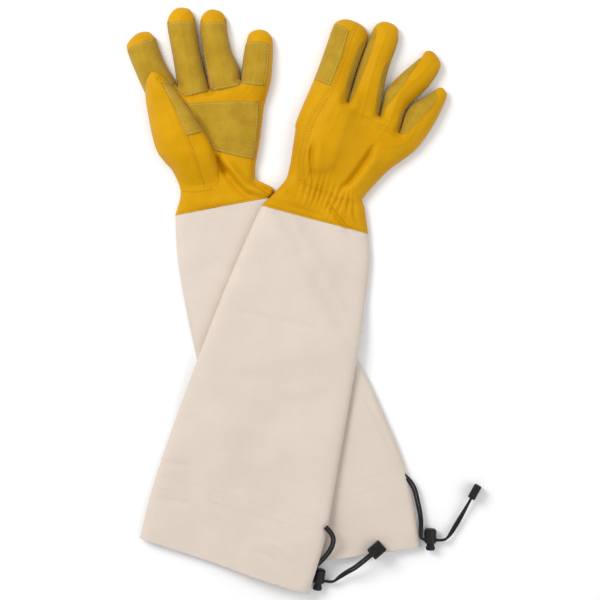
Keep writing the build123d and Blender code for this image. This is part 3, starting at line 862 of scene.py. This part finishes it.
THUMB_TIP_SEAM = ((-50, 130), (-44, 124), (-36, 127))
WRIST_STITCHES = ((-38, 19), (-24, 16.5), (-8, 17.5))
THUMB_PATCH = ((-44.5, 125), (-38, 127), (-23, 102), (-9, 75), (-26, 71), (-35, 101))
RIGHT_THUMB = ((-22, 112), 14.0, (-22, 60), 19.0)       # tip centre and radius, root centre and radius
RIGHT_THUMB_PATCH = ((-30, 118), (-14, 122), (2, 76), (-16, 66))


def seam_relief(points, path):
    """A fine groove along a sewn seam, with the leather a little proud beside it."""
    dist = beside(points, path)[0]
    return 0.35 * np.exp(-((dist - 1.0) / 0.6) ** 2) - 0.7 * np.exp(-(dist / 0.5) ** 2)


def in_sleeve(glove, line):
    """Points of the sleeve's own frame, in the hand's frame."""
    a = math.radians(glove["sleeve_turn"] - glove["turn"])
    return [(x * math.cos(a) - y * math.sin(a), x * math.sin(a) + y * math.cos(a)) for x, y in line]


def top_details(glove):
    """Height added to the side that faces up: folds, gathers, seams and waves of the cloth."""
    creases = list(glove["creases"]) + [(k, in_sleeve(glove, line), w, h)
                                        for k, line, w, h in glove["sleeve_creases"]]
    seed = 11 if glove is LEFT else 23

    def details(points):
        cloth = np.clip((-hand_y(glove, points) - 5) / 40, 0, 1)
        total = crease_set(points, creases, glove)
        if glove["gather"]:
            total += gathers(points, glove, glove["gather"], 5.6, 11.5, 2.4, 40)
        for line in glove["seams"]:
            total += seam_relief(points, drawn(glove, line))
        for line in (line for pair in glove["gussets"].values() for line in pair):
            total += 0.5 * np.exp(-(beside(points, drawn(glove, line))[0] / 0.9) ** 2)
        total += cloth * (1.5 * noise(points, 62, seed) + 0.7 * noise(points, 27, seed + 1))
        total += (1 - cloth) * (0.55 * noise(points, 24, seed + 2) + 0.25 * noise(points, 9, seed + 3))
        return total
    return details


def ring_about(tip, tip_r, root, root_r):
    """The outline of the hull of two circles."""
    tip, root = np.array(tip, float), np.array(root, float)
    gap = np.linalg.norm(root - tip)
    lean = math.acos((root_r - tip_r) / gap)
    along_it = math.atan2(*(tip - root)[::-1])
    arcs = ((tip, tip_r, np.linspace(-lean, lean, 24)),
            (root, root_r, np.linspace(lean, 2 * math.pi - lean, 36)))
    return np.vstack([middle + r * np.column_stack([np.cos(along_it + t), np.sin(along_it + t)])
                      for middle, r, t in arcs])


def sheet_piece(name, glove, verts, faces, z, mat, thick, slot, flip=False):
    """One skin of a glove as its own piece, which stands for the node with the same name."""
    points, faces = own(np.column_stack([verts, z]), faces[:, ::-1] if flip else faces)
    obj = mesh_piece(f"{glove['name']}_{name}", points, faces, mat)
    finish_piece(solid(obj, thick), glove, slot, name)


def edge_strip(name, glove, skin, line, reach, extra=None):
    """A strip of suede along the side of the fingers, wrapped over the silhouette."""
    side, rows = leftward(line), []
    if within(line + side, skin.puff.outline).mean() < 0.5:
        side = -side
    for depth, face in ((reach, 1), (reach * 0.5, 1), (0.6, 1), (-0.25, 0), (0.6, -1), (2.4, -1), (4.2, -1)):
        p = line + side * depth
        inside = np.where(within(p, skin.puff.outline), from_edge(skin.puff.tree, p), 0)
        high, low = skin.top(p, inside), skin.bottom(p, inside)
        z = high + STRIP_PROUD if face > 0 else low - STRIP_PROUD if face < 0 else (high + low) / 2
        rows.append(np.column_stack([p, z]))
    n, verts, faces = len(line), np.vstack(rows), []
    for r in range(len(rows) - 1):
        for i in range(n - 1):
            a = r * n + i
            faces.append((a, a + 1, a + n + 1, a + n))
    if extra is not None:
        points, tri = extra
        faces += [tuple(len(verts) + k for k in f) for f in tri]
        verts = np.vstack([verts, points])
    obj = mesh_piece(f"{glove['name']}_{name}", verts, faces, SUEDE)
    finish_piece(solid(obj, STRIP_THICK, 0.0), glove, "suede", name)


def inside_runs(skin, path, margin):
    """The stretches of a path that are inside a skin's outline by a margin."""
    keep = within(path, skin.puff.outline) & (from_edge(skin.puff.tree, path) > margin)
    cuts = np.nonzero(np.diff(keep.astype(int)))[0] + 1
    return [path[part] for part in np.split(np.arange(len(path)), cuts) if keep[part[0]] and len(part) > 4]


def sew(glove, name, path, skin, proud, mat, margin=1.5, **size):
    """Stitches along the stretches of a path that are on the piece."""
    for k, part in enumerate(inside_runs(skin, path, margin)):
        stitches(f"{glove['name']}_{name}_{k}_stitches", glove, part, skin, proud, mat, **size)


# Bands inside a glove as a turn and two distances along it: elastic, casing tape.
BANDS = {
    "left": ((LEFT["turn"] + 4, 18, 26), (LEFT["sleeve_turn"], -312, -300)),
    "right": ((RIGHT["turn"] + 9, 23, 31), (RIGHT["sleeve_turn"], -296, -284))}


def cross_line(glove, turn, dist, reach=130):
    """A straight line across a glove, at a distance along a turned axis."""
    across, ahead = axes(turn)
    middle = np.array(glove["at"]) + dist * ahead
    return even(np.array([middle - reach * across, middle + reach * across]), EDGE_STEP)


def inner_band(name, built, glove, band, inset, mat, thick, slot):
    """A band against the inside of the skins, all the way round."""
    turn, low, high = band
    across, ahead = axes(turn)
    along_it = (built["middle"] - np.array(glove["at"])) @ ahead
    chosen = built["faces"][(along_it > low) & (along_it < high)]
    verts, top, bottom = built["verts"], built["top"], built["bottom"]
    mid = (top + bottom) / 2
    z_top, z_low = np.maximum(top - inset, mid + 0.2), np.minimum(bottom + inset, mid - 0.2)
    pull = np.clip(1 - built["depth"] / 8, 0, 1) * (inset + 0.8)
    side = np.sign((verts - np.array(glove["at"]) - (low + high) / 2 * ahead) @ across)
    moved = verts - (side * pull)[:, None] * across
    pts = np.vstack([np.column_stack([moved, z_top]), np.column_stack([moved, z_low])])
    under = np.arange(len(verts)) + len(verts)
    under[built["silhouette"]] = np.nonzero(built["silhouette"])[0]
    pts[:len(verts)][built["silhouette"], 2] = mid[built["silhouette"]]
    pts, tri = own(pts, np.vstack([chosen, under[chosen[:, ::-1]]]))
    obj = mesh_piece(f"{glove['name']}_{name}", pts, tri, mat)
    finish_piece(solid(obj, thick), glove, slot, name)


def build(glove, support, down_name, up_name):
    """All visible soft pieces of one glove over what it lies on."""
    outline, longer, seam, hem = outline_of(glove)
    skin = Skin(longer, softness(glove), support)
    skin.details.append(top_details(glove))
    ups, downs = ({name: closed_region(glove, corners) for name, corners in glove[key].items()}
                  for key in ("patches_up", "patches_down"))
    gussets = {name: (drawn(glove, a), drawn(glove, b)) for name, (a, b) in glove["gussets"].items()}
    sewn = [drawn(glove, line) for line in glove["seams"]]
    lines = [seam]
    for turn, *ends in BANDS[glove["name"]]:
        lines += [cross_line(glove, turn, d) for d in ends]
    lines += [loop(r) for r in ups.values()] + [loop(r) for r in downs.values()]
    for path in sewn:
        lines += flanked(path)
    for pair in gussets.values():
        lines += [p for path in pair for p in flanked(path, 0.8)]
    verts, faces = lay_out(outline, skin.puff.tree, seam, lines)
    depth = from_edge(skin.puff.tree, verts)
    silhouette = np.zeros(len(verts), bool)
    silhouette[border(faces)] = True
    silhouette &= beside(verts, hem)[0] >= 0.05
    depth[silhouette] = 0
    top, bottom = skin.top(verts, depth), skin.bottom(verts, depth)
    middle = verts[faces].mean(axis=1)
    hand = left_of(middle, seam)
    in_gusset = {n: within(middle, np.vstack([a, b[::-1]])) & hand for n, (a, b) in gussets.items()}
    leather_up = hand.copy()
    for chosen in in_gusset.values():
        leather_up &= ~chosen
    leather, suede = (LEATHER, LEATHER_THICK, "leather"), (SUEDE, SUEDE_THICK, "suede")
    sheet_piece(up_name + "_leather", glove, verts, faces[leather_up], top + LEATHER_PROUD, *leather)
    sheet_piece(down_name + "_leather", glove, verts, faces[hand], bottom - LEATHER_PROUD, *leather,
                flip=True)
    for n, region in ups.items():
        chosen = faces[within(middle, region) & leather_up]
        sheet_piece(n + "_patch", glove, verts, chosen, top + PATCH_PROUD, *suede)
        sew(glove, n + "_patch", shrunk(region, 1.7), skin, PATCH_PROUD, THREAD, 1.8)
    for n, region in downs.items():
        chosen = faces[within(middle, region) & hand]
        sheet_piece(n + "_patch", glove, verts, chosen, bottom - PATCH_PROUD, *suede, flip=True)

    # Strips between the fingers, along the outline from one fingertip to the next.
    for k, (first, second) in enumerate((("index", "middle"), ("middle", "ring"), ("ring", "little"))):
        tips = put(glove, [glove["tips"][k], glove["tips"][k + 1]])
        start, stop = (int(np.argmin(np.linalg.norm(outline - t, axis=1))) for t in tips)
        line = outline[start + TIP_FREE:stop - TIP_FREE]
        name, extra = f"{first}_{second}", None
        if name in gussets:
            extra = own(np.column_stack([verts, top]), faces[in_gusset[name]])
        edge_strip("fourchette_" + name, glove, skin, line, 1.2 if extra else 1.0, extra)

    # The sleeve is one tube, with its two faces joined at the silhouette.
    both = np.vstack([np.column_stack([verts, top]), np.column_stack([verts, bottom])])
    below = np.arange(len(verts)) + len(verts)
    below[silhouette] = np.nonzero(silhouette)[0]
    sleeve = np.vstack([faces[~hand], below[faces[~hand][:, ::-1]]])
    points, tri = own(both, sleeve)
    tube = mesh_piece(f"{glove['name']}_canvas_sleeve", points, tri, CLOTH[glove["name"]])
    finish_piece(solid(tube, CANVAS_THICK), glove, "canvas", "canvas_sleeve")

    return dict(seam=seam, skin=skin, verts=verts, faces=faces, top=top, bottom=bottom, depth=depth,
                silhouette=silhouette, middle=middle, sewn=sewn)


def trim(glove, built):
    """Sewn lines, the tapes inside and the run of the drawcord in its casing."""
    skin, name = built["skin"], glove["name"]
    elastic, casing = BANDS[name]
    inner_band("wrist_elastic", built, glove, elastic, 1.9, ELASTIC, 0.8, "elastic_tape")
    inner_band("drawcord_casing", built, glove, casing, 3.8, TAPE, 0.3, "casing_tape")
    sew(glove, "cuff", flanked(built["seam"], 2.2)[1], skin, LEATHER_PROUD, SEAM_THREAD)
    for k, path in enumerate(built["sewn"]):
        sew(glove, f"seam_{k}", flanked(path, 1.7)[1], skin, LEATHER_PROUD, SEAM_THREAD)
    for k, d in enumerate(casing[1:]):
        sew(glove, f"casing_{k}", cross_line(glove, casing[0], d), skin, 0.0, CANVAS_THREAD, high=0.02,
            slot="canvas")
    run = inside_runs(skin, cross_line(glove, casing[0], (casing[1] + casing[2]) / 2), 7.0)[0]
    over = np.column_stack([run, skin.top(run) - 2.3])
    under = np.column_stack([run, skin.bottom(run) + 2.3])[::-1]
    ring = np.vstack([over[::4], under[::4]])
    finish_piece(cord_curve(f"{name}_drawcord_hidden", ring * M, True), glove, "drawcord", "drawcord_hidden")


def thumb_piece(glove, outline, level, support, thin, patch, seams, names, patch_up):
    """A thumb as its own filled shell over what it lies on."""
    skin = Skin(outline, level, support, thin)
    lines = [p for seam in seams for p in flanked(seam)] + [loop(patch)]

    def details(points):
        total = 0.7 * noise(points, 26, 31) + 0.25 * noise(points, 10, 32)
        for seam in seams:
            total += seam_relief(points, seam)
        return total
    skin.details.append(details)
    far = np.array([[-1000.0, -1000.0], [1000.0, -1000.0]])
    verts, faces = lay_out(outline, skin.puff.tree, far, lines)
    depth = from_edge(skin.puff.tree, verts)
    depth[border(faces)] = 0
    top, bottom = skin.top(verts, depth), skin.bottom(verts, depth)
    upper, lower = names
    sheet_piece(upper, glove, verts, faces, top, LEATHER, LEATHER_THICK, "leather")
    sheet_piece(lower, glove, verts, faces, bottom, LEATHER, LEATHER_THICK, "leather", flip=True)
    chosen = faces[within(verts[faces].mean(axis=1), patch)]
    z = top + PATCH_PROUD if patch_up else bottom - PATCH_PROUD
    sheet_piece("thumb_patch", glove, verts, chosen, z, SUEDE, SUEDE_THICK, "suede", flip=not patch_up)
    return skin


flat_table = np.full((len(GY), len(GX)), TABLE_CLEAR)
left = build(LEFT, flat_table, "back", "palm")
trim(LEFT, left)
left_top = carry_on(left["skin"].field(), left["skin"].puff.mask, CARRIED)


def thumb_thin(points):
    """The thumb's filling fades out towards the wrist."""
    return eased(np.clip((hand_y(LEFT, points) - 14) / 42, 0, 1))


thumb_ring = drawn(LEFT, THUMB_LINE)[:-1]
thumb_patch = closed_region(LEFT, THUMB_PATCH)
thumb_seams = [drawn(LEFT, line) for line in (THUMB_SEAM, THUMB_TIP_SEAM)]
thumb = thumb_piece(LEFT, thumb_ring, np.full(flat_table.shape, THUMB_SOFT), blur(left_top, 5) + 0.8,
                    thumb_thin, thumb_patch, thumb_seams, ("thumb_front", "thumb_back"), True)
sew(LEFT, "thumb_patch", shrunk(thumb_patch, 1.6), thumb, PATCH_PROUD, THREAD)
sew(LEFT, "thumb_seam", flanked(thumb_seams[0], 1.8)[1], thumb, LEATHER_PROUD, SEAM_THREAD)
sew(LEFT, "wrist", drawn(LEFT, WRIST_STITCHES), left["skin"], LEATHER_PROUD, SEAM_THREAD)

right_ring = even(loop(put(RIGHT, ring_about(*RIGHT_THUMB))), LINE_STEP)[:-1]
right_patch = closed_region(RIGHT, RIGHT_THUMB_PATCH)
under_thumb = thumb_piece(RIGHT, right_ring, np.full(flat_table.shape, UNDER_THUMB_SOFT),
                          flat_table + PATCH_PROUD, None, right_patch, [],
                          ("thumb_back", "thumb_front"), False)


def drape(support, mask, sag, rounds):
    """A sheet let down over a support until it rests on it, with its edges free."""
    level = support.copy()
    m = mask.astype(float)
    share = np.maximum(spread(m), 1e-6)
    for _ in range(rounds):
        level = np.where(mask, np.maximum(support, spread(level * m) / share - sag), support)
    return carry_on(level, mask, CARRIED)


# The right glove comes down on the left one, and its hem stands up a little over the cord's way out.
stack = np.maximum(left_top, carry_on(thumb.field(), thumb.puff.mask, 2))
stack = np.maximum(stack, under_thumb.field())
stack = np.where(stack > 0.5, stack, 0.0) + GLOVE_GAP
for _ in range(3):
    stack = np.maximum(stack, spread(stack))
_, longer, _, _ = outline_of(RIGHT)
resting = drape(stack, grid_mask(longer), SAG, SAG_ROUNDS)
exit_at = np.array(RIGHT["route"][1][:2]) + np.array(SHIFT)
lifted = np.exp(-(((GRID_XY - exit_at) ** 2).sum(axis=1) / LIFT_REACH ** 2)).reshape(flat_table.shape)
resting = resting + LIFT_HIGH * lifted
right = build(RIGHT, resting, "palm", "back")
trim(RIGHT, right)

# ---- floor and light, in metres ----
FLOOR_HALF, FLOOR_Z = 3, -0.0004
floor_mesh = bpy.data.meshes.new("floor")
corners = [(x * FLOOR_HALF, y * FLOOR_HALF, FLOOR_Z) for x, y in ((-1, -1), (1, -1), (1, 1), (-1, 1))]
floor_mesh.from_pydata(corners, [], [(0, 1, 2, 3)])
floor = link("floor", floor_mesh)
paper = Finish("floor_paper", (0.93, 0.93, 0.93), 0.9)
paper.bumps((paper.noise(300.0, 4.0), 0.1, 0.0001))
floor_mesh.materials.append(paper.mat)

world = bpy.data.worlds.new("studio")
bpy.context.scene.world = world
world.use_nodes = True
world.node_tree.nodes["Background"].inputs["Color"].default_value = (1, 1, 1, 1)
world.node_tree.nodes["Background"].inputs["Strength"].default_value = 0.62


def soft_light(name, at, size, power):
    lamp = bpy.data.lights.new(name, "AREA")
    lamp.shape, lamp.size, lamp.energy = "SQUARE", size, power
    obj = link(name, lamp)
    obj.location = at
    obj.rotation_euler = (-Vector(at)).to_track_quat("-Z", "Y").to_euler()


soft_light("key", (-1.1, 0.9, 1.5), 0.9, 26)
soft_light("fill", (1.3, -0.3, 1.6), 1.4, 9)
bpy.context.scene.view_settings.view_transform = "Standard"
